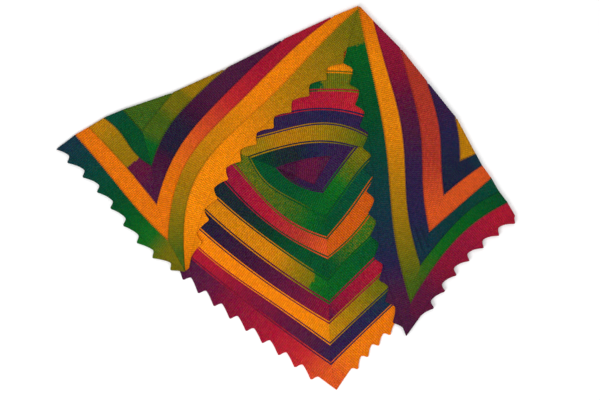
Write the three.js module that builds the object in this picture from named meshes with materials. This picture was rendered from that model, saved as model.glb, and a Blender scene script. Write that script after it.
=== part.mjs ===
// A triangle shawl, hand knitted as one long strip that is joined on round after round about a small
// heart, with a saw-toothed last round. It lies flat with its two acute corners, the wings, folded
// forward over the back. Millimetres, +Z up from the surface that it lies on, +Y towards the top of
// the folds, X and Y zero under the middle of its box.
//
// The back shows the cloth's wrong side, where each join is a pair of thin raised rows. The wings
// show the smooth right side. Each stretch of the strip between two corners is a piece of its own.

import * as THREE from 'three';

// Cloth

const CLOTH = 2.4; // thickness of the knitted wall
const CROWN = 0.6; // how much higher a strip is along its middle than at its joins
const JOIN_ROW = 0.9; // height of the raised row on each side of a wrong-side join
const JOIN_GAP = 0.3; // between neighbouring strips, and between the two layers
const END_GAP = 0.5; // taken off a strip's end where it meets a mitre or a fold
const WING_BASE = CLOTH + JOIN_ROW + JOIN_GAP; // underside of the folded wings

// Folds

const ROLL_RADIUS = WING_BASE / 2; // of the middle of the wall, where it rolls over
const ROLL_AXIS = (WING_BASE + CLOTH) / 2;
const ROLL_STEPS = 4;
const LEFT_ROLL = new THREE.Vector2(-0.425, 0.905); // the way that each fold faces
const RIGHT_ROLL = new THREE.Vector2(0.807, 0.59);

const MIDDLE_END = 3; // how far the innermost stretch on a wing stops short of its corner

// The tables below are measured from a point on the back, which this brings under the box's middle

const MIDDLE = [3.4, 1.4];

// Facets

const SPANS = 8; // straight spans along each seam
const LEAST_STEP = 0.004; // between two cross sections, as a share of the strip
const TIP = 0.07; // half the blunt tip of a tooth, as a share of its length

// Seams
//
// Round n is the stretch of strip inside seam n. Each seam runs between two corners. Bow, sway and
// ripple are how far it swells to its left once, twice and three times on the way.

const BACK_LEFT = [
  { round: 0, from: [-24, 68], to: [80, 17], bow: -12 },
  { round: 1, from: [-89, 96], to: [85, -44], bow: -19, sway: -6 },
  { round: 2, from: [-158, 119], to: [90, -90], bow: -26, sway: 6 },
  { round: 3, from: [-239, 172], to: [92, -135], bow: -37, sway: 2 },
  { round: 4, from: [-322, 221], to: [91, -187], bow: -43, sway: -5 },
  { round: 5, from: [-377, 203], to: [95, -239], bow: -39, sway: -2 },
  { round: 6, from: [-420, 185], to: [95, -285], bow: -41, sway: -2 },
  { round: 7, from: [-456, 163], to: [97, -334], bow: -33, sway: 0, ripple: 5 },
  { round: 8, from: [-485, 143], to: [99, -379], bow: -32, sway: -4 },
  { round: 9, from: [-505, 121], to: [112, -440], bow: -31, sway: -1, ripple: 3 },
];
const BACK_RIGHT = [
  { round: 0, from: [80, 17], to: [157, 119], bow: 1 },
  { round: 1, from: [85, -44], to: [223, 119], bow: 8, sway: -3 },
  { round: 2, from: [90, -90], to: [315, 131], bow: 23, sway: -9 },
  { round: 3, from: [92, -135], to: [408, 142], bow: 18, sway: -5, ripple: -6 },
  { round: 4, from: [91, -187], to: [429, 103], bow: 11, sway: 2 },
  { round: 5, from: [95, -239], to: [444, 76], bow: 10, sway: -3 },
  { round: 6, from: [95, -285], to: [465, 47], bow: 4 },
  { round: 7, from: [97, -334], to: [483, 16], bow: 4 },
  { round: 8, from: [99, -379], to: [502, -9], bow: 5 },
  { round: 9, from: [112, -440], to: [507, -25], bow: 9, sway: 2, ripple: 6 },
];
const BACK_NECK = [
  { round: 0, from: [-22, 72], to: [95, 96], bow: 5 },
  { round: 1, from: [-89, 96], to: [157, 119], bow: 21, sway: -2 },
  { round: 2, from: [-158, 119], to: [223, 119], bow: 49, sway: -12 },
  { round: 3, from: [-239, 172], to: [315, 131], bow: 47, sway: -17, ripple: -6 },
  { round: 4, from: [-322, 221], to: [408, 142], bow: 68, sway: -20 },
  { round: 5, from: [-268, 240], to: [387, 182], bow: 86, sway: -10, ripple: 4 },
  { round: 6, from: [-149, 294], to: [322, 263], bow: 57 },
  { round: 7, from: [-16, 361], to: [260, 341], bow: 18 },
  { round: 8, from: [99, 415], to: [198, 404], bow: 0 },
];
const LEFT_WING_NECK = [
  { round: 5, from: [-268, 240], to: [-334, 156], bow: -1 },
  { round: 6, from: [-149, 294], to: [-314, 77], bow: -22, sway: 3 },
  { round: 7, from: [-16, 361], to: [-302, -11], bow: -37, sway: 7, ripple: -1 },
  { round: 8, from: [99, 415], to: [-277, -93], bow: -66, sway: 16, ripple: -5 },
  { round: 9, from: [164, 434], to: [-236, -166], bow: -83, sway: 29, ripple: -7 },
  { round: 10, from: [134, 342], to: [-227, -159], bow: -59, sway: 13, ripple: 2 },
];
const LEFT_WING_LEG = [
  { round: 5, from: [-377, 203], to: [-334, 156] },
  { round: 6, from: [-420, 185], to: [-314, 77], bow: -2, sway: 5 },
  { round: 7, from: [-456, 163], to: [-302, -11], bow: 4 },
  { round: 8, from: [-485, 143], to: [-277, -93], bow: -4, sway: 2 },
  { round: 9, from: [-520, 110], to: [-237, -168], bow: -9, sway: 10, ripple: -2 },
];
const RIGHT_WING_NECK = [
  { round: 5, from: [387, 182], to: [397, 89], bow: 3 },
  { round: 6, from: [322, 263], to: [359, 10], bow: 10, sway: 3, ripple: -1 },
  { round: 7, from: [260, 341], to: [326, -74], bow: 12, sway: 5, ripple: -3 },
  { round: 8, from: [198, 404], to: [305, -151], bow: 10, sway: 8, ripple: -5 },
  { round: 9, from: [166, 434], to: [282, -237], bow: 2, sway: 7, ripple: -4 },
  { round: 10, from: [136, 342], to: [272, -311], bow: -6, sway: 15 },
];
const RIGHT_WING_LEG = [
  { round: 4, from: [429, 103], to: [397, 89] },
  { round: 5, from: [444, 76], to: [359, 10], bow: -2 },
  { round: 6, from: [465, 47], to: [326, -74], bow: 0 },
  { round: 7, from: [483, 16], to: [305, -151], bow: -15, sway: -2 },
  { round: 8, from: [502, -9], to: [282, -237], bow: -25, sway: -2 },
  { round: 9, from: [520, -42], to: [272, -311], bow: -21, sway: -3, ripple: 2 },
];
const HEART_LEFT = [-23, 70]; // the heart's left corner, where three stretches begin
const HEART_FOOT = [60, 34]; // and its lowest corner
const APEX = [164.5, 431]; // the back's own top corner, just inside the rolled folds

// Saw teeth
//
// Each row is one toothed edge: how many teeth, from which to which share of the edge, how deep, and
// where along a tooth its tip is. Under the wings the back's edge is left plain.

const TEETH = {
  back_left: { count: 9, from: 0.435, to: 0.935, depth: 13.5, lean: 0.7 },
  back_right: { count: 4, from: 0.102, to: 0.356, depth: 12, lean: 0.3 },
  left_wing_neck: { count: 11, from: 0.01, to: 0.965, depth: 17, lean: 0.37 },
  left_wing_leg: { count: 9, from: -0.05, to: 1.03, depth: 12, lean: 0.3 },
  right_wing_neck: { count: 13, from: -0.007, to: 0.97, depth: 15, lean: 0.62 },
  right_wing_leg: { count: 7, from: 0, to: 0.853, depth: 13, lean: 0.28 },
};

// Yarn, one colour for each stretch, the middle one of its run

const YARN = {
  heart: 0x961240, purple: 0x3c1e50, navy: 0x1e234b, teal: 0x144b4b, pine: 0x005023,
  green: 0x0a6e23, olive: 0x82780a, mustard: 0xc88c0a, amber: 0xff9600, orange: 0xfa8200,
  flame: 0xe65a23, red: 0xc82d2d, crimson: 0xb41932, magenta: 0x96143c, burgundy: 0x5a143c,
};
const BACK_LEFT_YARN = ['purple', 'pine', 'olive', 'crimson', 'pine', 'mustard', 'navy', 'orange',
  'magenta', 'crimson'];
const BACK_RIGHT_YARN = ['purple', 'green', 'pine', 'orange', 'green', 'pine', 'red', 'olive',
  'navy', 'orange'];
const BACK_NECK_YARN = [null, 'teal', 'mustard', 'purple', 'crimson', 'olive', 'orange', 'crimson',
  'purple', 'amber'];
const LEFT_NECK_YARN = { 6: 'olive', 7: 'purple', 8: 'flame', 9: 'mustard', 10: 'amber' };
const LEFT_LEG_YARN = { 6: 'pine', 7: 'mustard', 8: 'orange', 9: 'pine' };
const RIGHT_NECK_YARN = { 6: 'navy', 7: 'flame', 8: 'purple', 9: 'mustard', 10: 'green' };
const MIDDLE_YARN = { left: 'olive', right: 'mustard' };
const RIGHT_LEG_YARN = { 5: 'teal', 6: 'flame', 7: 'pine', 8: 'green', 9: 'magenta' };

// A seam as a function of the share of its length, in straight spans that both neighbours share

function seam({ from, to, bow = 0, sway = 0, ripple = 0 }) {
  const start = new THREE.Vector2(...from);
  const run = new THREE.Vector2(...to).sub(start);
  const side = new THREE.Vector2(-run.y, run.x).normalize();
  const bent = (t) => {
    const swell = bow * 4 * t * (1 - t);
    const wave = sway * Math.sin(2 * Math.PI * t) + ripple * Math.sin(3 * Math.PI * t);
    return start.clone().addScaledVector(run, t).addScaledVector(side, swell + wave);
  };
  return (t) => {
    const span = Math.min(SPANS - 1, Math.floor(t * SPANS));
    return bent(span / SPANS).lerp(bent((span + 1) / SPANS), t * SPANS - span);
  };
}

const seamOf = (rows, round) => seam(rows.find((row) => row.round === round));

// A seam that goes straight from one point to another and on to a third

function cornered(a, b, c) {
  const points = [a, b, c].map((p) => new THREE.Vector2(...p));
  return (t) => (t < 0.5 ? points[0].clone().lerp(points[1], 2 * t)
    : points[1].clone().lerp(points[2], 2 * t - 1));
}

// How far the edge stands out at each share of its length, and the shares where it turns

function toothedEdge({ count, from, to, depth, lean }) {
  const pitch = (to - from) / count;
  const corners = [[0, 0], [lean - TIP, 1], [lean + TIP, 1], [1, 0]];
  const turns = [];
  for (let tooth = 0; tooth < count; tooth += 1) {
    turns.push(...corners.map(([share]) => from + (tooth + share) * pitch));
  }
  const out = (t) => {
    const place = (t - from) / pitch;
    if (place <= 0 || place >= count) return 0;
    const share = place - Math.floor(place);
    const next = corners.findIndex(([at]) => at > share);
    const [a, low] = corners[next - 1];
    const [b, high] = corners[next];
    return depth * (low + ((high - low) * (share - a)) / (b - a));
  };
  return { out, turns };
}

// The shares along a strip where its cross sections go: each end of a span, and each turn of a
// toothed edge that isn't too near one

function sectionPlaces(inner, outer, turns, trimStart, trimEnd) {
  const length = inner(0).distanceTo(inner(1)) / 2 + outer(0).distanceTo(outer(1)) / 2;
  const first = trimStart / length;
  const last = 1 - trimEnd / length;
  const spans = Array.from({ length: SPANS - 1 }, (_, i) => (i + 1) / SPANS);
  const fixed = [first, ...spans, last];
  const apart = (t) => fixed.every((other) => Math.abs(t - other) > LEAST_STEP);
  const free = turns.filter((t) => t > first && t < last && apart(t));
  return [...fixed, ...free].sort((a, b) => a - b);
}

// A wrong-side section has a raised row at each join, a right-side one is smooth

const WRONG_SIDE = [
  { across: 0, up: 0 }, { across: 0.06, up: JOIN_ROW }, { across: 0.13, up: 0 },
  { across: 0.5, up: CROWN }, { across: 0.87, up: 0 }, { across: 0.94, up: JOIN_ROW },
  { across: 1, up: 0 },
];
const RIGHT_SIDE = [{ across: 0, up: 0 }, { across: 0.5, up: CROWN }, { across: 1, up: 0 }];

// The ring of points round the wall at one place: its top from inner to outer, then its underside.
// turned is how far it has rolled over the fold, from 0 on the wing to pi on the floor.

function section(a, b, profile, base, roll, turned) {
  const place = (across, height) => {
    const flat = a.clone().lerp(b, across);
    if (!roll) return new THREE.Vector3(flat.x, flat.y, base + height);
    const radius = ROLL_RADIUS - CLOTH / 2 + height;
    flat.addScaledVector(roll, radius * Math.sin(turned));
    return new THREE.Vector3(flat.x, flat.y, ROLL_AXIS + radius * Math.cos(turned));
  };
  const fade = roll ? Math.cos(turned / 2) ** 2 : 1;
  const top = profile.map(({ across, up }) => place(across, CLOTH + up * fade));
  return [...top, place(1, 0), place(0, 0)];
}

// The triangles that close an end ring, whose last two points are its underside

function endFaces(around) {
  const [outer, inner] = [around - 2, around - 1];
  const middle = (around - 3) / 2;
  const faces = [[inner, middle, outer]];
  for (let i = 0; i < around - 3; i += 1) faces.push([i < middle ? inner : outer, i, i + 1]);
  return faces;
}

// A closed mesh through a row of rings

function loft(name, rings, yarn) {
  const around = rings[0].length;
  const points = rings.flat().flatMap((p) => [p.x, p.y, p.z]);
  const faces = [];
  for (let ring = 0; ring + 1 < rings.length; ring += 1) {
    for (let i = 0; i < around; i += 1) {
      const a = ring * around + i;
      const b = ring * around + ((i + 1) % around);
      faces.push([a, a + around, b], [b, a + around, b + around]);
    }
  }
  const last = (rings.length - 1) * around;
  for (const [a, b, c] of endFaces(around)) {
    faces.push([a, b, c], [last + a, last + c, last + b]);
  }
  const turned = volumeOf(points, faces) < 0;
  const geometry = new THREE.BufferGeometry();
  geometry.setAttribute('position', new THREE.Float32BufferAttribute(points, 3));
  geometry.setIndex(faces.flatMap(([a, b, c]) => (turned ? [a, c, b] : [a, b, c])));
  geometry.computeVertexNormals();
  const look = new THREE.MeshStandardMaterial({ color: YARN[yarn], roughness: 0.9, metalness: 0 });
  const mesh = new THREE.Mesh(geometry, look);
  mesh.name = name;
  return mesh;
}

function volumeOf(points, faces) {
  const corner = (i) => new THREE.Vector3(...points.slice(3 * i, 3 * i + 3));
  const six = faces.map(([a, b, c]) => corner(a).dot(corner(b).cross(corner(c))));
  return six.reduce((sum, one) => sum + one, 0) / 6;
}

// One stretch of the strip between its inner and outer seams

function strip(name, yarn, inner, outer, { teeth, roll, profile = WRONG_SIDE, base = 0 } = {}) {
  const edge = teeth ? toothedEdge(teeth) : { out: () => 0, turns: [] };
  const places = sectionPlaces(inner, outer, edge.turns, roll ? 0 : END_GAP, END_GAP);
  const sides = (t) => {
    const a = inner(t);
    const b = outer(t);
    const across = b.clone().sub(a).normalize();
    a.addScaledVector(across, JOIN_GAP / 2);
    b.addScaledVector(across, edge.out(t) - JOIN_GAP / 2);
    return [a, b];
  };
  const rings = places.map((t) => section(...sides(t), profile, base, null, 0));
  for (let step = 1; roll && step <= ROLL_STEPS; step += 1) {
    rings.unshift(section(...sides(0), profile, base, roll, (Math.PI * step) / ROLL_STEPS));
  }
  return loft(name, rings, yarn);
}

// The back

function backPieces() {
  const pieces = [];
  const heartLeft = seam({ from: HEART_LEFT, to: HEART_FOOT });
  const heartRight = seam({ from: HEART_FOOT, to: BACK_NECK[0].to });
  pieces.push(strip('heart', 'heart', heartLeft, seamOf(BACK_NECK, 0)));
  for (let round = 0; round <= 9; round += 1) {
    const left = round ? seamOf(BACK_LEFT, round - 1) : heartLeft;
    const right = round ? seamOf(BACK_RIGHT, round - 1) : heartRight;
    const teeth = round === 9;
    pieces.push(strip(`back_left_round_${round}`, BACK_LEFT_YARN[round], left,
      seamOf(BACK_LEFT, round), { teeth: teeth && TEETH.back_left }));
    pieces.push(strip(`back_right_round_${round}`, BACK_RIGHT_YARN[round], right,
      seamOf(BACK_RIGHT, round), { teeth: teeth && TEETH.back_right }));
  }
  for (let round = 1; round <= 9; round += 1) {
    const ends = BACK_NECK[8];
    const outer = round < 9 ? seamOf(BACK_NECK, round) : cornered(ends.from, APEX, ends.to);
    pieces.push(strip(`back_neck_round_${round}`, BACK_NECK_YARN[round],
      seamOf(BACK_NECK, round - 1), outer));
  }
  return pieces;
}

// The innermost stretch that shows on a wing, which narrows to a blunt point where its seams meet

function wingMiddle(side, neckRow, legRow, wing) {
  const towards = (row, other) => {
    const [x, y] = row.to;
    const way = new THREE.Vector2(...row.from).add(new THREE.Vector2(...other.from));
    way.divideScalar(2).sub(new THREE.Vector2(x, y)).normalize();
    const aside = new THREE.Vector2(...row.from).sub(new THREE.Vector2(...other.from)).normalize();
    return [x + MIDDLE_END * way.x + aside.x, y + MIDDLE_END * way.y + aside.y];
  };
  return strip(`${side}_wing_middle`, MIDDLE_YARN[side],
    seam({ ...neckRow, to: towards(neckRow, legRow) }),
    seam({ ...legRow, to: towards(legRow, neckRow) }), wing);
}

// The wings, whose strips roll over the folds down to the floor

function wingPieces(side, neckRows, legRows, neckYarn, legYarn, roll) {
  const wing = { roll, profile: RIGHT_SIDE, base: WING_BASE };
  const pieces = [wingMiddle(side, neckRows[0], legRows[0], wing)];
  for (const [round, yarn] of Object.entries(neckYarn)) {
    const last = round === '10';
    pieces.push(strip(`${side}_wing_neck_round_${round}`, yarn, seamOf(neckRows, round - 1),
      seamOf(neckRows, Number(round)),
      { ...wing, roll: last ? null : roll, teeth: last && TEETH[`${side}_wing_neck`] }));
  }
  for (const [round, yarn] of Object.entries(legYarn)) {
    const last = round === '9';
    pieces.push(strip(`${side}_wing_leg_round_${round}`, yarn, seamOf(legRows, round - 1),
      seamOf(legRows, Number(round)), { ...wing, teeth: last && TEETH[`${side}_wing_leg`] }));
  }
  return pieces;
}

const shawl = new THREE.Group();
shawl.position.set(...MIDDLE, 0);
shawl.add(
  ...backPieces(),
  ...wingPieces('left', LEFT_WING_NECK, LEFT_WING_LEG, LEFT_NECK_YARN, LEFT_LEG_YARN, LEFT_ROLL),
  ...wingPieces('right', RIGHT_WING_NECK, RIGHT_WING_LEG, RIGHT_NECK_YARN, RIGHT_LEG_YARN, RIGHT_ROLL),
);

export default shawl;
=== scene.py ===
# %% [markdown]
# # A hand-knitted triangle shawl
# The shawl is one long strip of knitting, about 39 mm wide, that goes round and round a small heart.
# Each stretch of the strip is joined to the last round as it is knitted, and the yarn changes colour
# slowly along it. It lies flat with two corners, the wings, folded forward over its back.
#
# The solids of the frame give each stretch its size and place. Here every stretch is made again as
# real knitting: a thin closed sheet whose grid of faces follows the rows and stitches, so that each
# face takes its height and its colour from the stitch that it belongs to.

# %% Load the frame
import math

import bpy
import numpy as np
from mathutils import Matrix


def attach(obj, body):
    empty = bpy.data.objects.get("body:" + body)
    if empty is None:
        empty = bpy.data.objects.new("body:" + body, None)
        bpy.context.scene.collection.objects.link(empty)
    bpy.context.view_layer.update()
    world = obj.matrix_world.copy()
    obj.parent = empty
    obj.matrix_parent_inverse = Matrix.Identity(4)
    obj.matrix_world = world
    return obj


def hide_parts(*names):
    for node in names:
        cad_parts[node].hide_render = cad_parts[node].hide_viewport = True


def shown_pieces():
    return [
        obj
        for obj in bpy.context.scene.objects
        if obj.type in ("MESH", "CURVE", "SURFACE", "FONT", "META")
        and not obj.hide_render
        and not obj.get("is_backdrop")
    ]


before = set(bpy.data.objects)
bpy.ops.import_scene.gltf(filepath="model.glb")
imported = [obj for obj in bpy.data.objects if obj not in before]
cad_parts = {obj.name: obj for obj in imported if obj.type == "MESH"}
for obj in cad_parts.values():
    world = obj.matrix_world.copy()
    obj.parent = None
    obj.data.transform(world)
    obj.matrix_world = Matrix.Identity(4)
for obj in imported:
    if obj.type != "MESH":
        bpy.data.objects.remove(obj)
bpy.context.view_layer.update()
bpy.ops.object.select_all(action="DESELECT")
print("nodes in the frame:", len(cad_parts))

# %% [markdown]
# ## Camera
# The shawl is photographed from straight above. A camera 3 m up with a long lens keeps the flat cloth
# free of perspective, and its view is as wide as the photograph's 600 pixels at the shawl's scale.

# %% The camera over the shawl
PHOTO_SIZE = (600, 400)
PIXEL = 2.3  # millimetres of shawl for each pixel
PHOTO_ORIGIN = (287.9, 198.8)  # the pixel where the seams' tables have their origin
MIDDLE = np.array([3.4, 1.4])  # from that origin to the frame's, in millimetres
CAMERA_HEIGHT = 3.0
CLOTH_HEIGHT = 0.004
SENSOR = 36.0
MM = 0.001

view_x = ((PHOTO_SIZE[0] / 2 - PHOTO_ORIGIN[0]) * PIXEL + MIDDLE[0]) * MM
view_y = ((PHOTO_ORIGIN[1] - PHOTO_SIZE[1] / 2) * PIXEL + MIDDLE[1]) * MM
view_width = PHOTO_SIZE[0] * PIXEL * MM
bpy.ops.object.camera_add(location=(view_x, view_y, CAMERA_HEIGHT), rotation=(0, 0, 0))
camera = bpy.context.object
camera.name = "camera_above"
camera.data.sensor_width = SENSOR
camera.data.lens = SENSOR * (CAMERA_HEIGHT - CLOTH_HEIGHT) / view_width
camera.data.clip_end = 50
bpy.context.scene.camera = camera
print("the camera sees", round(view_width, 3), "m across with a lens of", round(camera.data.lens, 1), "mm")

# %% [markdown]
# ## Light and floor
# Soft light from a large panel low on the left, a weaker one on the right, and pale light from all
# round. The panel's low angle lets the rows of stitches throw small shadows, which is what makes
# knitting look like knitting.

# %% Soft panels, a pale world and a white floor
WORLD_STRENGTH = 0.8
FLOOR_WIDTH = 12
FLOOR_DROP = 0.0004  # metres that the floor lies under the cloth
PANELS = [
    # name, place in metres, width, watts
    ("panel_left", (-1.5, -1.9, 1.7), 1.2, 44),
    ("panel_right", (2.2, 0.8, 2.6), 2.0, 12),
]
bpy.context.scene.view_settings.view_transform = "Standard"
world = bpy.data.worlds.new("pale_room")
world.use_nodes = True
world.node_tree.nodes["Background"].inputs["Color"].default_value = (1.0, 1.0, 1.0, 1)
world.node_tree.nodes["Background"].inputs["Strength"].default_value = WORLD_STRENGTH
bpy.context.scene.world = world
for name, place, width, watts in PANELS:
    bpy.ops.object.light_add(type="AREA", location=place)
    panel = bpy.context.object
    panel.name = name
    panel.data.size = width
    panel.data.energy = watts
    panel.rotation_euler = panel.location.to_track_quat("Z", "Y").to_euler()


def plain_material(name, colour, roughness):
    material = bpy.data.materials.new(name)
    material.use_nodes = True
    shader = material.node_tree.nodes["Principled BSDF"]
    shader.inputs["Base Color"].default_value = (*colour, 1)
    shader.inputs["Roughness"].default_value = roughness
    return material


bpy.ops.mesh.primitive_plane_add(size=FLOOR_WIDTH, location=(0, 0, -FLOOR_DROP))
floor = bpy.context.object
floor.name = "floor"
floor.data.materials.append(plain_material("white_paper", (0.97, 0.97, 0.97), 0.9))
floor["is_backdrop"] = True
print("lights:", len(PANELS), "floor width:", floor.dimensions.x)

# %% [markdown]
# ## Where the strip lies
# Round n is the stretch of strip inside seam n. Each seam runs between two corners, and bow, sway and
# ripple are how far it swells to its left once, twice and three times on the way, in millimetres. A
# seam could be drawn as a curve object, but a formula can be asked for any point along it. The corners
# and some points along each seam were read off the photograph. The swells were not measured one by one:
# a separate least-squares program fitted most of them to those points, and they were then rounded.

# %% The seams of the back
BACK_LEFT = {
    0: dict(start=(-23, 70), end=(80, 17), bow=-12),
    1: dict(start=(-89, 96), end=(85, -44), bow=-19, sway=-6),
    2: dict(start=(-158, 119), end=(90, -90), bow=-26, sway=6),
    3: dict(start=(-239, 172), end=(92, -135), bow=-37, sway=2),
    4: dict(start=(-322, 221), end=(91, -187), bow=-43, sway=-5),
    5: dict(start=(-377, 203), end=(95, -239), bow=-39, sway=-2),
    6: dict(start=(-420, 185), end=(95, -285), bow=-41, sway=-2),
    7: dict(start=(-456, 163), end=(97, -334), bow=-33, ripple=5),
    8: dict(start=(-485, 143), end=(99, -379), bow=-32, sway=-4),
    9: dict(start=(-505, 121), end=(112, -440), bow=-31, sway=-1, ripple=3),
}
BACK_RIGHT = {
    0: dict(start=(80, 17), end=(157, 119), bow=1),
    1: dict(start=(85, -44), end=(223, 119), bow=8, sway=-3),
    2: dict(start=(90, -90), end=(315, 131), bow=23, sway=-9),
    3: dict(start=(92, -135), end=(408, 142), bow=18, sway=-5, ripple=-6),
    4: dict(start=(91, -187), end=(429, 103), bow=11, sway=2),
    5: dict(start=(95, -239), end=(444, 76), bow=10, sway=-3),
    6: dict(start=(95, -285), end=(465, 47), bow=4),
    7: dict(start=(97, -334), end=(483, 16), bow=4),
    8: dict(start=(99, -379), end=(502, -9), bow=5),
    9: dict(start=(112, -440), end=(507, -25), bow=9, sway=2, ripple=6),
}
APEX = (163, 436)  # the back's own top corner, just inside the folds
BACK_NECK = {
    0: dict(start=(-23, 70), end=(95, 96), bow=5),
    1: dict(start=(-89, 96), end=(157, 119), bow=21, sway=-2),
    2: dict(start=(-158, 119), end=(223, 119), bow=49, sway=-12),
    3: dict(start=(-239, 172), end=(315, 131), bow=47, sway=-17, ripple=-6),
    4: dict(start=(-322, 221), end=(408, 142), bow=68, sway=-20),
    5: dict(start=(-268, 240), end=(387, 182), bow=86, sway=-10, ripple=4),
    6: dict(start=(-149, 294), end=(322, 263), bow=57),
    7: dict(start=(-16, 361), end=(260, 341), bow=18),
    8: dict(start=(99, 415), end=(198, 404)),
    9: dict(start=(99, 415), end=(198, 404), peak=APEX),
}
HEART_LEFT = dict(start=(-23, 70), end=(60, 34))
HEART_RIGHT = dict(start=(60, 34), end=(95, 96))
print("seams on the back:", len(BACK_LEFT) + len(BACK_RIGHT) + len(BACK_NECK) + 2)

# %% The seams of the wings
LEFT_WING_NECK = {
    5: dict(start=(-268, 240), end=(-334, 156), bow=-1),
    6: dict(start=(-149, 294), end=(-314, 77), bow=-22, sway=3),
    7: dict(start=(-16, 361), end=(-302, -11), bow=-37, sway=7, ripple=-1),
    8: dict(start=(99, 415), end=(-277, -93), bow=-66, sway=16, ripple=-5),
    9: dict(start=(163, 441), end=(-236, -166), bow=-83, sway=29, ripple=-7),
    10: dict(start=(135, 342), end=(-227, -159), bow=-59, sway=13, ripple=2),
}
LEFT_WING_LEG = {
    5: dict(start=(-377, 203), end=(-334, 156)),
    6: dict(start=(-420, 185), end=(-314, 77), bow=-2, sway=5),
    7: dict(start=(-456, 163), end=(-302, -11), bow=4),
    8: dict(start=(-486, 146), end=(-277, -93), bow=-4, sway=2),
    9: dict(start=(-523, 118), end=(-236.3, -166.4), bow=-9, sway=10, ripple=-2),
}
RIGHT_WING_NECK = {
    5: dict(start=(387, 182), end=(397, 89), bow=3),
    6: dict(start=(322, 263), end=(359, 10), bow=10, sway=3, ripple=-1),
    7: dict(start=(260, 341), end=(326, -74), bow=12, sway=5, ripple=-3),
    8: dict(start=(198, 404), end=(305, -151), bow=10, sway=8, ripple=-5),
    9: dict(start=(163.2, 441), end=(282, -237), bow=2, sway=7, ripple=-4),
    10: dict(start=(135.2, 342), end=(272, -316), bow=-6, sway=15),
}
RIGHT_WING_LEG = {
    4: dict(start=(429, 103), end=(397, 89)),
    5: dict(start=(444, 76), end=(359, 10), bow=-2),
    6: dict(start=(465, 47), end=(326, -74)),
    7: dict(start=(483, 16), end=(305, -151), bow=-15, sway=-2),
    8: dict(start=(502, -9), end=(282, -237), bow=-25, sway=-2),
    9: dict(start=(520, -40), end=(272, -316), bow=-21, sway=-3, ripple=2),
}
WING_SEAMS = (LEFT_WING_NECK, LEFT_WING_LEG, RIGHT_WING_NECK, RIGHT_WING_LEG)
print("seams on the wings:", sum(map(len, WING_SEAMS)))

# %% Any point along a seam
SEAM_STEPS = 96
REACH = 200.0  # how far a seam is carried on past its ends
FAR = 5000.0


def unit(way):
    return np.asarray(way, float) / np.hypot(*way)


def seam_points(start, end, bow=0, sway=0, ripple=0, peak=None):
    """The points of a seam at equal shares of its length."""
    t = np.linspace(0, 1, SEAM_STEPS + 1)
    start, run = np.array(start, float), np.subtract(end, start).astype(float)
    if peak is not None:
        corners = np.array([start, peak, end])
        return np.column_stack([np.interp(t, (0, 0.5, 1), corners[:, axis]) for axis in (0, 1)])
    left = np.array([-run[1], run[0]]) / np.hypot(*run)
    swell = bow * 4 * t * (1 - t) + sway * np.sin(2 * np.pi * t) + ripple * np.sin(3 * np.pi * t)
    return start + np.outer(t, run) + np.outer(swell, left)


def carried_on(points, lead=None, reach=REACH):
    """The same line with a straight stretch before and after it, and the share at each of its points."""
    length = np.hypot(*np.diff(points, axis=0).T).sum()
    first = unit(points[0] - points[1]) if lead is None else lead
    last = unit(points[-1] - points[-2])
    line = np.vstack([points[0] + reach * first, points, points[-1] + reach * last])
    more = reach / length
    return line, np.concatenate([[-more], np.linspace(0, 1, len(points)), [1 + more]])


print("the longest seam has", len(seam_points(**LEFT_WING_NECK[9])), "points")

# %% [markdown]
# ## Saw teeth
# The last round grows a stitch wider every few rows and then binds them all off at once, so its edge
# is a row of slanting teeth. They could be cut out with a boolean, but knitting has no cut edges: here
# the rows themselves are longer or shorter.

# %% How far an edge stands out
TEETH = {
    "back_left_round_9": dict(count=9, start=0.439, end=0.939, depth=15.5, lean=0.76, bend=(1.3, 1.8)),
    "back_right_round_9": dict(count=4, start=0.102, end=0.356, depth=13, lean=0.28, bend=(2.0, 1.5)),
    "left_wing_neck_round_10": dict(count=11, start=0.01, end=0.965, depth=17, lean=0.37, bend=(1.5, 1.5)),
    "left_wing_leg_round_9": dict(count=9, start=-0.055, end=1.025, depth=14, lean=0.22, bend=(2.2, 1.6)),
    "right_wing_neck_round_10": dict(count=13, start=-0.007, end=0.97, depth=16, lean=0.62, bend=(1.4, 1.4)),
    "right_wing_leg_round_9": dict(count=7, start=-0.012, end=0.853, depth=14.5, lean=0.26, bend=(2.5, 1.7)),
}
TIP = 0.04  # half the blunt tip, as a share of the tooth


def standing_out(share, count, start, end, depth, lean, bend):
    """The bends make the valleys round: one for the side before the tip and one for the side after it."""
    place = (share - start) / (end - start) * count
    within = place % 1.0
    before = np.clip(within / (lean - TIP), 0, 1) ** bend[0]
    after = np.clip((1 - within) / (1 - lean - TIP), 0, 1) ** bend[1]
    return np.where((place > 0) & (place < count), depth * np.minimum(before, after), 0.0)


print("teeth in all:", sum(edge["count"] for edge in TEETH.values()))
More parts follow.
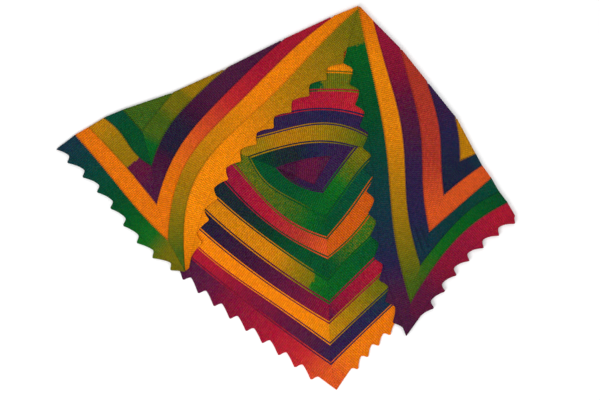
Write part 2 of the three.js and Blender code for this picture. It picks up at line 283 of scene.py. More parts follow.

# %% [markdown]
# ## Yarn
# The yarn is spun from wool that was dyed in long runs, so the colour drifts from one to the next over
# many rows. Each stretch of strip is charted as a run: a colour name at each share of the stretch.
# Between two names the colours mix. The charts and the colours' values were set with the help of
# mean colours that another program measured along the stretches of the photograph.

# %% The colours of the yarn
YARN = {
    "amber": (252, 143, 5), "saffron": (250, 136, 6), "orange": (240, 121, 10), "copper": (208, 90, 18),
    "flame": (224, 88, 34), "rust": (184, 58, 42), "red": (198, 44, 46), "crimson": (176, 28, 52),
    "magenta": (154, 25, 58), "wine": (138, 23, 54), "burgundy": (98, 26, 62), "damson": (70, 23, 56),
    "plum": (80, 30, 64), "purple": (56, 33, 74), "indigo": (42, 37, 76), "midnight": (40, 32, 56),
    "navy": (32, 38, 64), "ink": (30, 42, 48), "slate": (24, 54, 70), "teal": (12, 66, 62),
    "bottle": (8, 58, 40), "sea": (4, 78, 56), "pine": (0, 80, 42), "green": (4, 96, 34),
    "leaf": (24, 108, 30), "moss": (72, 100, 23), "olive": (118, 110, 13), "brass": (158, 121, 11),
    "ochre": (182, 122, 10), "mustard": (196, 130, 9), "honey": (216, 130, 8), "gold": (232, 136, 7),
}


def linear(colour):
    c = np.array(colour) / 255
    return np.where(c <= 0.04045, c / 12.92, ((c + 0.055) / 1.055) ** 2.4)


def run(text):
    """A run from its chart: a share and a colour name, again and again."""
    words = text.split()
    shares = np.array([float(word) for word in words[0::2]])
    return shares, np.array([linear(YARN[name]) for name in words[1::2]])


def yarn_at(chart, share):
    shares, colours = chart
    return np.stack([np.interp(share, shares, colours[:, channel]) for channel in range(3)], -1)


print("colours:", len(YARN))

# %% The runs of the back
RUNS = {
    "heart": "0 plum .35 damson .55 burgundy .85 burgundy 1 plum",
    "back_left_round_0": "0 plum .35 damson .6 purple 1 purple",
    "back_left_round_1": "0 pine .5 pine 1 green",
    "back_left_round_2": "0 olive .3 olive .7 moss .85 green 1 pine",
    "back_left_round_3": "0 magenta .3 magenta .6 crimson .85 rust 1 flame",
    "back_left_round_4": "0 navy .42 ink .55 ink .7 bottle .85 pine 1 pine",
    "back_left_round_5": "0 gold .4 honey .75 honey .85 brass .93 olive .935 leaf 1 green",
    "back_left_round_6": "0 midnight .5 midnight .7 damson .82 burgundy 1 wine",
    "back_left_round_7": "0 saffron .9 saffron 1 gold",
    "back_left_round_8": "0 crimson .55 crimson .68 wine .85 burgundy .95 plum 1 purple",
    "back_left_round_9": "0 purple .48 plum .56 burgundy .65 wine .8 crimson .9 red .98 flame 1 flame",
    "back_right_round_0": "0 purple 1 purple",
    "back_right_round_1": "0 green .4 leaf .6 moss .85 olive",
    "back_right_round_2": "0 pine .5 sea 1 teal",
    "back_right_round_3": "0 copper .4 copper 1 orange",
    "back_right_round_4": "0 pine .12 green .28 leaf .5 moss .7 olive",
    "back_right_round_5": "0 green .4 pine 1 teal",
    "back_right_round_6": "0 burgundy .04 wine .35 crimson .5 red 1 flame",
    "back_right_round_7": "0 mustard .15 brass .28 olive .5 moss",
    "back_right_round_8": "0 purple .2 indigo .38 slate 1 teal",
    "back_right_round_9": "0 flame .12 orange 1 orange",
    "back_neck_round_1": "0 bottle .2 ink .4 ink .55 navy .75 indigo 1 purple",
    "back_neck_round_2": "0 brass .2 brass .32 ochre .45 ochre .65 brass .85 olive 1 moss",
    "back_neck_round_3": "0 plum .3 purple .6 indigo .85 purple 1 plum",
    "back_neck_round_4": "0 magenta .42 crimson .6 crimson .72 red 1 flame",
    "back_neck_round_5": "0 teal .52 pine .525 olive .7 olive 1 moss",
    "back_neck_round_6": "0 mustard .5 amber .62 gold 1 orange",
    "back_neck_round_7": "0 magenta .55 crimson .62 flame 1 orange",
    "back_neck_round_8": "0 purple 1 indigo",
    "back_neck_round_9": "0 amber 1 amber",
}
print("stretches on the back:", len(RUNS))

# %% The runs of the wings
RUNS |= {
    "left_wing_middle": "0 moss 1 moss",
    "left_wing_neck_round_6": "0 brass .1 olive .35 olive .55 moss .85 moss 1 green",
    "left_wing_neck_round_7": "0 plum .25 plum .45 damson .6 midnight .78 midnight .85 damson 1 plum",
    "left_wing_neck_round_8": "0 crimson .25 crimson .42 red .62 flame .82 orange 1 orange",
    "left_wing_neck_round_9": "0 saffron .4 saffron .5 gold .68 mustard .84 brass .94 olive 1 moss",
    "left_wing_neck_round_10": "0 olive .15 brass .35 mustard .45 gold .55 amber 1 amber",
    "left_wing_leg_round_6": "0 sea .5 pine 1 pine",
    "left_wing_leg_round_7": "0 mustard .3 brass .655 brass .66 burgundy .85 burgundy 1 plum",
    "left_wing_leg_round_8": "0 orange 1 orange",
    "left_wing_leg_round_9": "0 slate .2 teal .35 sea .5 pine .68 green .82 leaf .95 olive 1 olive",
    "right_wing_middle": "0 mustard 1 mustard",
    "right_wing_neck_round_6": "0 purple .4 indigo 1 navy",
    "right_wing_neck_round_7": "0 rust .65 rust 1 flame",
    "right_wing_neck_round_8": "0 magenta .15 wine .3 burgundy .45 plum .6 purple .87 indigo 1 slate",
    "right_wing_neck_round_9": "0 orange .15 amber .45 gold .6 mustard .77 brass .9 olive 1 moss",
    "right_wing_neck_round_10":
        "0 olive .052 olive .057 green .3 pine .5 teal .65 slate .8 indigo .92 plum 1 plum",
    "right_wing_leg_round_5": "0 slate .5 navy 1 navy",
    "right_wing_leg_round_6": "0 flame 1 flame",
    "right_wing_leg_round_7": "0 sea .5 teal 1 slate",
    "right_wing_leg_round_8": "0 pine .3 green .7 leaf 1 moss",
    "right_wing_leg_round_9": "0 crimson .12 crimson .35 magenta .6 wine .8 burgundy .95 burgundy 1 plum",
}
CHARTS = {name: run(text) for name, text in RUNS.items()}
print("stretches in all:", len(CHARTS))

# %% [markdown]
# ## Laying rows across a strip
# In this knitting every row goes straight across the strip, at right angles to its middle line. Where
# two stretches meet at a mitred corner, the rows get shorter one after another. So each row is laid on
# the middle line first, reaches from the inner seam to the outer one, and is then cut short by the
# line of the corner or of the fold. Stretching a plain grid between the seams would be easier, but its
# rows would lean over near the corners.

# %% Where a row meets a seam
ROW = 4.6  # millimetres of strip for each row
HALF_ROW = ROW / 2
STITCHES = 8  # across the strip
QUARTERS = 4  # columns of faces in a stitch
FINE = 1.0  # step of the table that is kept along each strip
TURN = 6.0  # the middle line's direction is taken over this much either side
NOWHERE = 1e9  # stands for the place of a meeting that isn't there


def cross2(a, b):
    return a[..., 0] * b[..., 1] - a[..., 1] * b[..., 0]


def meeting(line, shares, places, along, across, missing=0.0):
    """How far across each row meets the line, and the line's share there."""
    apart = line[None] - places[:, None]
    a = (apart * along[:, None]).sum(2)
    b = (apart * across[:, None]).sum(2)
    passes = (a[:, :-1] < 0) != (a[:, 1:] < 0)
    part = a[:, :-1] / np.where(passes, a[:, :-1] - a[:, 1:], 1.0)
    met = np.where(passes, b[:, :-1] + part * (b[:, 1:] - b[:, :-1]), NOWHERE)
    best = np.abs(met).argmin(1)
    rows = np.arange(len(best))
    found = np.where(passes.any(1), met[rows, best], missing)
    return found, shares[best] + part[rows, best] * (shares[best + 1] - shares[best])


print("rows in a metre of strip:", round(1000 / ROW))

# %% The table that is kept along each strip
def place_of(point, s, middle, along):
    """How far along the strip the row through a point lies."""
    ahead = ((point - middle) * along).sum(1)
    passed = np.flatnonzero((ahead[:-1] > 0) & (ahead[1:] <= 0))
    nearest = passed[np.hypot(*(point - middle[passed]).T).argmin()]
    return s[nearest] + FINE * ahead[nearest] / (ahead[nearest] - ahead[nearest + 1])


def row_table(inner, outer, teeth=None, lead=None, moved=0.0, narrows=False):
    """For each millimetre of the strip: its middle, its direction, and where a row begins and ends.

    With it come the end lines, the corners' places, the outer seam's side and where a fold ends.
    """
    a, b = seam_points(**inner), seam_points(**outer)
    middle, _ = carried_on((a + b) / 2)
    travelled = np.concatenate([[0], np.cumsum(np.hypot(*np.diff(middle, axis=0).T))]) - REACH
    s = np.arange(-REACH + TURN, travelled[-1] - TURN, FINE)

    def middle_at(places):
        return np.column_stack([np.interp(places, travelled, middle[:, axis]) for axis in (0, 1)])

    way = middle_at(s + TURN) - middle_at(s - TURN)
    along = way / np.hypot(*way.T)[:, None]
    half = SEAM_STEPS // 2
    side = np.sign(cross2(a[half + 1] - a[half], b[half] - a[half]))
    across = side * np.column_stack([-along[:, 1], along[:, 0]])
    rows = (middle_at(s), along, across)
    u_in, share_in = meeting(*carried_on(a), *rows)
    u_out, share_out = meeting(*carried_on(b), *rows)
    shift, low, high = np.zeros(2), u_in, u_out
    if lead is not None:
        shift = moved * lead
        low, _ = meeting(*carried_on(a, lead, FAR), *rows, missing=-FAR)
        high, _ = meeting(*carried_on(b, lead, FAR), *rows, missing=FAR)
    if teeth:
        high = high + standing_out(share_out, **teeth)
    table = dict(s=s, x=middle_at(s)[:, 0], y=middle_at(s)[:, 1], ax=across[:, 0], ay=across[:, 1],
                 u_in=u_in, width=u_out - u_in, low=low, high=high, share_in=share_in, share_out=share_out)
    ends = [(a[0] + shift, b[0] + shift), (a[-1], b[-1])]
    corners = [place_of(point, s, middle_at(s), along) for end in ends for point in end]
    if narrows:
        inside = (s > min(corners)) & (s < max(corners))
        table["width"] = np.full(len(s), table["width"][inside].max())
    fold_end = max(place_of(point, s, middle_at(s), along) for point in (a[0], b[0]))
    return table, ends, np.unique(corners), side, fold_end


places = row_table(BACK_LEFT[4], BACK_LEFT[5])[2]
print("back_left_round_5's corners lie at", np.round(places).tolist(), "mm along it")

# %% What the end lines leave of a row
SAME_POINT = 1e-6
LEVEL = 1e-9  # stands for no slope at all, which can't be divided by


def end_bounds(points, across, ends, centre, early):
    """The part of each row that its end line leaves, as distances across from its middle point."""
    low, high = np.full(len(points), -FAR), np.full(len(points), FAR)
    for (p, q), rows in zip(ends, (early, ~early)):
        if np.hypot(*(q - p)) < SAME_POINT:
            continue
        inside = np.sign(cross2(q - p, centre - p))
        here = inside * cross2(q - p, points - p)
        slope = inside * cross2(q - p, across)
        bound = -here / np.where(np.abs(slope) < LEVEL, LEVEL, slope)
        low = np.where(rows & (slope > 0), bound, low)
        high = np.where(rows & (slope < 0), bound, high)
    return low, high


print("an end line is a point when it is shorter than", SAME_POINT, "mm")

# %% [markdown]
# ## The grid of stitches
# A stitch of smooth knitting is a V, so the rows of the grid zigzag a little. Columns are shared out
# between the seams, eight stitches to a strip, and go on past the outer seam into the teeth. The heart
# and the middles of the wings narrow to a point: they have more stitches, which keep their width and
# run out one after another. Where a row is cut short, the columns that are left over meet in one
# point, so the grid has no loose ends.

# %% Columns and half rows
EXTRA = 4  # more stitches, for teeth
EXTRA_REACH = 1.5  # how far they reach, in widths of the strip
EDGE_STITCH = 0.072  # the narrow stitches at the joins, as a share of the strip's width
LEAST_STEP = 0.3 * HALF_ROW
FOLD_STEP = 0.8  # the rows are closer where the cloth rolls over the fold


def edges_of(stitches):
    """Stitch numbers and their shares of the width, where the stitches' width changes."""
    narrow = EDGE_STITCH * STITCHES / stitches
    return (0, 1, stitches - 1, stitches, stitches + EXTRA), (0, narrow, 1 - narrow, 1, EXTRA_REACH)


def half_rows(corners, dense_until=None):
    """Places of the half rows, with one at each corner of the strip."""
    first, last = corners[0], corners[-1]
    places = np.arange(math.ceil(first / HALF_ROW), math.floor(last / HALF_ROW) + 1) * HALF_ROW
    if dense_until is not None:
        thick = np.arange(first, dense_until, FOLD_STEP)
        places = np.concatenate([thick, places[places > dense_until]])
    free = np.abs(places[:, None] - corners[None]).min(1) > LEAST_STEP
    return np.unique(np.concatenate([corners, places[free]]))


print("columns in a strip:", STITCHES * QUARTERS, "and in a toothed one:", (STITCHES + EXTRA) * QUARTERS)

# %% The grid of a strip
SAME_PLACE = 1e-7


def stitch_grid(table, ends, corners, zigzag, extra, dense_until, stitches):
    """Each vertex's place along and across the strip, and its point on the floor."""
    columns = np.arange((stitches + extra) * QUARTERS + 1)
    share = np.interp(columns / QUARTERS, *edges_of(stitches))
    first_half = max(corners.mean(), dense_until or corners[0])
    rows = half_rows(corners, dense_until)
    centre = np.array([np.interp(corners.mean(), table["s"], table[axis]) for axis in "xy"])
    shift = zigzag[columns % QUARTERS][None] * ROW
    s = np.repeat(rows[:, None], len(columns), 1)
    for turn in (0, 1):  # first the room for the zigzag is found, then the moved rows are laid
        at = {key: np.interp(s, table["s"], values) for key, values in table.items() if key != "s"}
        points = np.stack([at["x"], at["y"]], -1)
        across = np.stack([at["ax"], at["ay"]], -1)
        early = (s < first_half).ravel()
        low, high = end_bounds(points.reshape(-1, 2), across.reshape(-1, 2), ends, centre, early)
        low, high = low.reshape(s.shape), high.reshape(s.shape)
        u = at["u_in"] + share * at["width"]
        if turn == 0:
            room = np.minimum(u - low, high - u)
            room = np.where(share > 1, np.minimum(room, at["high"] - u), room)
            room = np.minimum(room, np.minimum(s - rows[0], rows[-1] - s))
            s = s + shift * np.clip(room / ROW, 0, 1)
    low = np.maximum(low, at["low"])
    high = np.maximum(low, np.minimum(high, at["high"]))
    u = np.clip(u, low, high)
    u[:, 0], u[:, -1] = low[:, 0], high[:, -1]
    stitch = np.interp((u - at["u_in"]) / np.maximum(at["width"], 1), *edges_of(stitches)[::-1])
    return dict(s=s, u=u, xy=points + u[..., None] * across, stitch=stitch,
                row=np.repeat(rows[:, None] / ROW, len(columns), 1),
                share_in=at["share_in"], share_out=at["share_out"])


def first_of_equals(u):
    """For each vertex, the first column of its row that lies at the same place."""
    same = np.abs(np.diff(u, axis=1)) < SAME_PLACE
    columns = np.broadcast_to(np.arange(u.shape[1]), u.shape)
    fresh = np.concatenate([np.ones((len(u), 1), bool), ~same], axis=1)
    return np.maximum.accumulate(np.where(fresh, columns, 0), axis=1)


print("four columns of which two lie together start at", first_of_equals(np.array([[0.0, 1, 1, 2]]))[0])

# %% [markdown]
# ## How high the yarn stands
# The right side shows columns of V stitches, with each leg of the V a small hump. The wrong side shows
# a ridge for each row, which waves a little from stitch to stitch, and a smooth raised column at each
# join, where the edge stitches of two rounds were knitted together.

# %% Heights of the two sides
LEG = 0.9  # millimetres that the leg of a V stands up
LEG_FOOT = 0.3  # the share of it that stays between two rows
PURL = 0.9
PURL_WAVE = 0.2  # how much a ridge waves from stitch to stitch, as a share of its height
JOIN = 0.9
RIGHT_SLANT = 1.2  # rows that a row climbs from the middle of a stitch to its side
WRONG_SLANT = 0.9
ZIGZAG = np.array([0.25, 0.0, -0.25, 0.0])  # of the slant, for a stitch's four columns


def hump(row):
    return 0.5 + 0.5 * np.cos(2 * np.pi * row)


def right_side(stitch, row):
    leg = np.abs(np.sin(2 * np.pi * stitch))
    return LEG * leg * (LEG_FOOT + (1 - LEG_FOOT) * hump(row))


def wrong_side(stitch, row, stitches):
    ridge = PURL * hump(row) * (1 - PURL_WAVE + PURL_WAVE * np.cos(2 * np.pi * stitch))
    join = JOIN * np.abs(np.sin(np.pi * stitch))
    return np.where((stitch < 1) | (stitch > stitches - 1), join, ridge)


print("a leg stands", LEG, "mm high, a ridge", PURL, "mm and a join", JOIN, "mm")

# %% [markdown]
# ## The fold
# A wing rolls over the fold on a small round, from its own level down to the floor, where it meets the
# back. Bending a flat sheet with a modifier would need one for each strip; wrapping the points that lie
# past the fold line round a cylinder gives the same form at once.

# %% Wrapping the cloth over the fold
CLOTH = 2.4
WING_BASE = 3.6
ROLL_RADIUS = 1.8
ROLL_AXIS = 3.0
LEFT_ROLL = unit((-0.425, 0.905))
RIGHT_ROLL = unit((0.807, 0.59))
ROLL_LENGTH = math.pi * ROLL_RADIUS


def lifted(xy, height, base, fold=None, lead=None):
    """Points in space for places on the floor and heights over the cloth's underside."""
    if lead is None:
        return np.concatenate([xy, (base + height)[..., None]], -1)
    p, q = fold
    past = np.clip(cross2(q - p, xy - p) / cross2(q - p, lead), 0, ROLL_LENGTH)
    turned = past / ROLL_RADIUS
    relief = np.maximum(height - CLOTH, 0) * np.sin(turned / 2) ** 2
    radius = ROLL_RADIUS - CLOTH / 2 + height - relief
    flat = xy + lead * (radius * np.sin(turned) - past)[..., None]
    return np.concatenate([flat, (ROLL_AXIS + radius * np.cos(turned))[..., None]], -1)


print("the roll is", round(ROLL_LENGTH, 2), "mm long")

# %% [markdown]
# ## Soft creases
# The cloth isn't quite flat. Long soft ridges and shallow hollows run over it, each placed with
# its own length, width and height. They lift every layer together, so a wing follows the back below it.

# %% The ridges
RIDGES = [
    # from, to, half width, height, all in millimetres
    ((-420, 150), (-250, 190), 26, 3.0),
    ((-330, 60), (-120, -60), 30, 2.0),
    ((-60, 300), (60, 180), 34, 2.5),
    ((120, 330), (150, 190), 24, 2.5),
    ((240, 250), (360, 40), 30, 2.0),
    ((180, -60), (260, -180), 26, 2.5),
    ((-160, -150), (40, -260), 34, 2.0),
    ((40, 60), (110, -60), 22, 2.0),
    # two short ones with a hollow between them, on the right wing
    ((290, -70), (305, -118), 4, 6.5),
    ((302, -68), (319, -112), 4, 6.5),
    # at the fold near the apex, and at the left corner
    ((150, 425), (128, 350), 9, 1.6),
    ((-500, 118), (-440, 150), 12, 1.8),
]
RISEN = 0.15  # how far along its arch a ridge's height begins


def crease_height(xy):
    total = np.zeros(xy.shape[:-1])
    for start, end, spread, height in RIDGES:
        start, run = np.array(start, float), np.subtract(end, start).astype(float)
        share = np.clip(((xy - start) @ run) / (run @ run), 0, 1)
        gap = np.hypot(*np.moveaxis(xy - start - share[..., None] * run, -1, 0))
        total += height * np.sin(np.pi * (RISEN + (1 - 2 * RISEN) * share)) * np.exp(-(gap / spread) ** 2)
    return total


print("ridges:", len(RIDGES))

# %% [markdown]
# ## One stretch of strip
# The top takes the full grid and the underside a coarse one, with walls between them all round. Each
# face keeps one colour, as a stitch does: that of the yarn at its row, with a little jitter, or that of
# the next round where the rounds are knitted together.

# %% Faces of a strip
UNDER_STEP = 8  # columns of the grid in one face of the underside


def faces_between(index):
    """Quads of a grid of vertex numbers, with the row and column of each; merged corners drop out."""
    a, b = index[:-1, :-1], index[:-1, 1:]
    c, d = index[1:, 1:], index[1:, :-1]
    quads = np.stack([a, b, c, d], -1).reshape(-1, 4)
    places = np.stack(np.meshgrid(*map(np.arange, a.shape), indexing="ij"), -1).reshape(-1, 2)
    faces, kept = [], []
    for quad, place in zip(quads.tolist(), places.tolist()):
        ring = [v for i, v in enumerate(quad) if v != quad[i - 1]]
        if len(set(ring)) == len(ring) > 2:
            faces.append(ring)
            kept.append(place)
    return faces, np.array(kept).reshape(-1, 2)


grid_test = np.array([[0, 1, 2], [3, 3, 4]])
print("a merged grid of two faces gives", faces_between(grid_test)[0])

# %% A closed sheet from a grid
def closed_sheet(name, grid, top, under, side):
    """The mesh, and for each of its faces the row and column that it lies in."""
    rows, columns = grid["u"].shape
    first = first_of_equals(grid["u"])
    numbers = np.arange(rows)[:, None] * columns + first
    coarse = np.arange(0, columns, UNDER_STEP)
    upper, lower = numbers, numbers[:, coarse] + rows * columns
    parts = [
        (upper, 0, 1, False),
        (lower, 0, UNDER_STEP, True),
        (np.column_stack([lower[:, 0], upper[:, 0]]), 0, 1, False),
        (np.column_stack([upper[:, -1], lower[:, -1]]), columns - 2, 1, False),
    ]
    faces, places = [], []
    for index, offset, step, reverse in parts:
        some, where = faces_between(index)
        turn = reverse != (side > 0)
        faces += [face[::-1] for face in some] if turn else some
        places.append(where * (1, step) + (0, offset))
    top_count = len(places[0])
    for row, way in ((0, -1), (-1, 1)):
        ring = list(dict.fromkeys([*upper[row][::way].tolist(), *lower[row][::-way].tolist()]))
        if len(ring) > 2:
            faces.append(ring if side < 0 else ring[::-1])
            places.append(np.array([[0 if row == 0 else rows - 2, 0]]))
    points = np.concatenate([top.reshape(-1, 3), under.reshape(-1, 3)])
    used, renumbered = np.unique(np.concatenate(faces), return_inverse=True)
    cuts = np.cumsum([len(face) for face in faces])[:-1]
    mesh = bpy.data.meshes.new(name)
    rings = [ring.tolist() for ring in np.split(renumbered, cuts)]
    mesh.from_pydata((points[used] * MM).tolist(), [], rings)
    mesh.polygons.foreach_set("use_smooth", np.arange(len(faces)) < top_count)
    knit = np.stack([grid["stitch"], grid["s"] / ROW, np.zeros_like(grid["s"])], -1).reshape(-1, 3)
    knit = np.concatenate([knit, knit])[used]
    mesh.attributes.new("knit", "FLOAT_VECTOR", "POINT").data.foreach_set("vector", knit.ravel())
    return mesh, np.concatenate(places)


print("an underside has", STITCHES * QUARTERS // UNDER_STEP, "columns of faces")

# %% Colours of the faces
SHARE_JITTER = 0.004  # how far a stitch's yarn may come from elsewhere along its run
SHADE_JITTER = 0.10  # and how much lighter or darker it may be
TOOTH_COLUMNS = 3  # how far the last round's colour reaches in every other half row of a wing
MARL_FADE = 0.15  # the share over which a second colour comes and goes
MARL = {
    # a second colour in the yarn, how much of it at the most, and between which shares
    "back_left_round_2": ("green", 0.75, 0.0, 0.85),
    "back_right_round_1": ("olive", 0.5, 0.4, 1.0),
    "back_right_round_4": ("brass", 0.35, 0.1, 1.0),
    "back_neck_round_5": ("leaf", 0.4, 0.5, 1.0),
    "back_neck_round_7": ("flame", 0.6, 0.4, 1.0),
    "left_wing_middle": ("green", 0.5, 0.0, 1.0),
}


def stitch_colours(name, grid, places, neighbours, wrong, stitches):
    """A colour for each face."""
    rng = np.random.default_rng(sum(map(ord, name)) + 97 * len(name))  # each stretch has its own seed
    i, j = places.T
    place = (grid["row"][i, j] + grid["row"][i + 1, j]) / 2
    row = np.floor(place + 0.5).astype(int)
    row -= row.min()
    stitch = j // QUARTERS
    jitter = rng.normal(0, SHARE_JITTER, (row.max() + 1, stitches + EXTRA))
    shade = 1 + rng.uniform(-SHADE_JITTER, SHADE_JITTER, jitter.shape)
    share_in, share_out = grid["share_in"][i, j], grid["share_out"][i, j]
    share = (share_in + share_out) / 2 + jitter[row, stitch]
    colours = yarn_at(CHARTS[name], share)
    if name in MARL:
        second, most, first_share, last_share = MARL[name]
        inside = np.clip(np.minimum(share - first_share, last_share - share) / MARL_FADE + 0.5, 0, 1)
        part = most * inside * (rng.uniform(0, 1, len(share)) > 0.5)
        colours += part[:, None] * (linear(YARN[second]) - colours)
    inner, outer = neighbours
    joined = stitch == 0 if wrong else (j < TOOTH_COLUMNS) & (np.floor(2 * place).astype(int) % 2 == 0)
    for other, there, along in ((inner, joined, share_in), (outer, stitch == stitches - 1, share_out)):
        if other:
            colours = np.where(there[:, None], yarn_at(CHARTS[other], along), colours)
    return colours * shade[row, stitch][:, None]


print("jitter of a stitch's shade:", SHADE_JITTER)

# %% [markdown]
# ## Materials
# The wool is matt with a faint fuzz, so it has a high roughness and a little sheen. What both sides of
# the knitting share sits in two groups of nodes, which each material takes in with its own values. The
# nodes could be placed one by one, but small helpers let a row of them be read like a formula.

# %% Helpers for the groups
def new_group(name, inputs, outputs):
    group = bpy.data.node_groups.new(name, "ShaderNodeTree")
    for way, sockets in (("INPUT", inputs), ("OUTPUT", outputs)):
        for label, kind in sockets:
            group.interface.new_socket(label, in_out=way, socket_type="NodeSocket" + kind)
    return group, group.nodes.new("NodeGroupInput"), group.nodes.new("NodeGroupOutput")


def calculate(group, operation, *values, colour=False):
    """A math node of the group; its inputs are sockets or numbers, and in colour a number is a grey."""
    node = group.nodes.new("ShaderNodeVectorMath" if colour else "ShaderNodeMath")
    node.operation = operation
    for socket, value in zip(node.inputs, values):
        if isinstance(value, (int, float)):
            socket.default_value = (value, value, value) if colour else value
        else:
            group.links.new(value, socket)
    return node.outputs["Vector" if colour else "Value"]


print("helpers:", new_group.__name__, "and", calculate.__name__)

# %% [markdown]
# ## Heather
# A dyed fleece is never of quite one colour. The first group mixes three noises into the yarn's colour:
# two change its brightness, one over a few stitches and one from fibre to fibre, and the third sets
# flecks of slightly different colours. The finest one also stands for the bumps of the fibres. A
# painted picture could do this too, but noise is worked out for every place, so it never repeats.

# %% The heather of the yarn
NOISES = {
    # scale and detail
    "clouds": (300, 2),
    "fibres": (1600, 3),
    "flecks": (420, 0),
}
HEATHER_DEPTH = 0.7  # how much the first two noises change the brightness
FLECK_GAIN = 0.5  # how much the flecks of dyed fibre differ in strength
FLECK_ADDED = 0.05  # and how much of other colours they bring
LEAST_LIGHT = 0.001  # what a fleck adds to each colour on the whole


def heather_group():
    """The yarn's colour with its heather, and the fibres' height."""
    outputs = [("Color", "Color"), ("Fibres", "Float")]
    group, start, end = new_group("heathered_wool", [("Yarn", "Color")], outputs)
    place = group.nodes.new("ShaderNodeTexCoord")
    noises = {}
    for name, (scale, detail) in NOISES.items():
        noise = group.nodes.new("ShaderNodeTexNoise")
        noise.inputs["Scale"].default_value = scale
        noise.inputs["Detail"].default_value = detail
        group.links.new(place.outputs["Object"], noise.inputs["Vector"])
        noises[name] = noise.outputs
    both = calculate(group, "ADD", noises["clouds"]["Fac"], noises["fibres"]["Fac"])
    value = calculate(group, "MULTIPLY_ADD", both, HEATHER_DEPTH, 1 - HEATHER_DEPTH)
    tint = group.nodes.new("ShaderNodeHueSaturation")
    group.links.new(value, tint.inputs["Value"])
    group.links.new(start.outputs["Yarn"], tint.inputs["Color"])
    mixed = tint.outputs["Color"]
    flecks = noises["flecks"]["Color"]
    gain = calculate(group, "MULTIPLY_ADD", flecks, FLECK_GAIN, 1 - FLECK_GAIN / 2, colour=True)
    least = LEAST_LIGHT - FLECK_ADDED / 2
    other = calculate(group, "MULTIPLY_ADD", flecks, FLECK_ADDED, least, colour=True)
    flecked = calculate(group, "MULTIPLY_ADD", mixed, gain, other, colour=True)
    group.links.new(calculate(group, "MAXIMUM", flecked, 0.0, colour=True), end.inputs["Color"])
    group.links.new(noises["fibres"]["Fac"], end.inputs["Fibres"])
    return group


HEATHER = heather_group()
print("nodes in the heather:", len(HEATHER.nodes))

# %% [markdown]
# ## Threads
# The grid has only a few faces in each stitch, too few for the round of a thread. The second group works
# that out from the attribute "knit", which says where a point lies along the strip and across it. With
# this height the material paints shade into the gaps between the threads and a little light onto their
# tops, and rounds the threads with a bump.

# %% The height of a thread
LEG_MIDDLE = 0.25  # from the middle of a stitch to the middle of its leg, as a share of the stitch
ROW_ROUND = 0.7  # powers that make the thread round along the strip
LEG_ROUND = 2.5  # and across it


def stitch_group():
    """How high the yarn stands within a stitch, from 0 between the stitches to 1."""
    inputs = [("Place", "Vector"), ("Slant", "Float"), ("Legs", "Float")]
    group, start, end = new_group("stitch_height", inputs, [("Height", "Float")])

    def step(operation, *values):
        return calculate(group, operation, *values)

    parts = group.nodes.new("ShaderNodeSeparateXYZ")
    group.links.new(start.outputs["Place"], parts.inputs["Vector"])
    aside = step("ABSOLUTE", step("SUBTRACT", step("FRACT", parts.outputs["X"]), 0.5))
    climb = step("MULTIPLY", step("SUBTRACT", aside, LEG_MIDDLE), start.outputs["Slant"])
    row = step("SUBTRACT", parts.outputs["Y"], climb)
    wave = step("ABSOLUTE", step("COSINE", step("MULTIPLY", row, math.pi)))
    apart = step("ABSOLUTE", step("SUBTRACT", step("MULTIPLY", aside, 1 / LEG_MIDDLE), 1))
    gap = step("MULTIPLY", step("POWER", apart, LEG_ROUND), start.outputs["Legs"])
    leg = step("SUBTRACT", 1, gap)
    group.links.new(step("MULTIPLY", step("POWER", wave, ROW_ROUND), leg), end.inputs["Height"])
    return group


STITCH = stitch_group()
print("nodes in a stitch:", len(STITCH.nodes))

# %% [markdown]
# ## Two wools
# The wings show the smooth right side with its marked legs, and the back shows the ridges of the wrong
# side. It is one yarn, so both materials come from one function and differ only in how the stitch
# slants and how strong the painted shade in its gaps and the painted light on its threads are.

# %% Smooth and ridged wool
ROUGHNESS = 0.95
SHINE = 0.03
FUZZ = 0.012
THREAD_BUMP = 0.0006  # metres that a thread stands over its gaps
FIBRE_BUMP = 0.0002


def group_node(nodes, group):
    node = nodes.new("ShaderNodeGroup")
    node.node_tree = group
    return node


def wool(name, slant, legs, shadow, light):
    """Knitted wool; shadow and light scale the yarn's colour as painted shade between the stitches and
    painted light on them.
    """
    material = bpy.data.materials.new(name)
    material.use_nodes = True
    nodes, link = material.node_tree.nodes, material.node_tree.links.new
    shader = nodes["Principled BSDF"]
    shader.inputs["Roughness"].default_value = ROUGHNESS
    shader.inputs["Specular IOR Level"].default_value = SHINE
    shader.inputs["Sheen Weight"].default_value = FUZZ
    yarn, place = nodes.new("ShaderNodeAttribute"), nodes.new("ShaderNodeAttribute")
    yarn.attribute_name, place.attribute_name = "yarn", "knit"
    mixed, stitch = group_node(nodes, HEATHER), group_node(nodes, STITCH)
    stitch.inputs["Slant"].default_value = slant
    stitch.inputs["Legs"].default_value = legs
    # painted shade and light: the colour is scaled from shadow in the gaps between the threads to light on
    # their tops
    depth = nodes.new("ShaderNodeMapRange")
    depth.inputs["To Min"].default_value = shadow
    depth.inputs["To Max"].default_value = light
    shaded = nodes.new("ShaderNodeVectorMath")
    shaded.operation = "SCALE"
    rounds, hairs = nodes.new("ShaderNodeBump"), nodes.new("ShaderNodeBump")
    rounds.inputs["Distance"].default_value = THREAD_BUMP
    hairs.inputs["Distance"].default_value = FIBRE_BUMP
    link(yarn.outputs["Color"], mixed.inputs["Yarn"])
    link(place.outputs["Vector"], stitch.inputs["Place"])
    link(stitch.outputs["Height"], depth.inputs["Value"])
    link(mixed.outputs["Color"], shaded.inputs[0])
    link(depth.outputs["Result"], shaded.inputs["Scale"])
    link(shaded.outputs["Vector"], shader.inputs["Base Color"])
    link(stitch.outputs["Height"], rounds.inputs["Height"])
    link(mixed.outputs["Fibres"], hairs.inputs["Height"])
    link(rounds.outputs["Normal"], hairs.inputs["Normal"])
    link(hairs.outputs["Normal"], shader.inputs["Normal"])
    return material


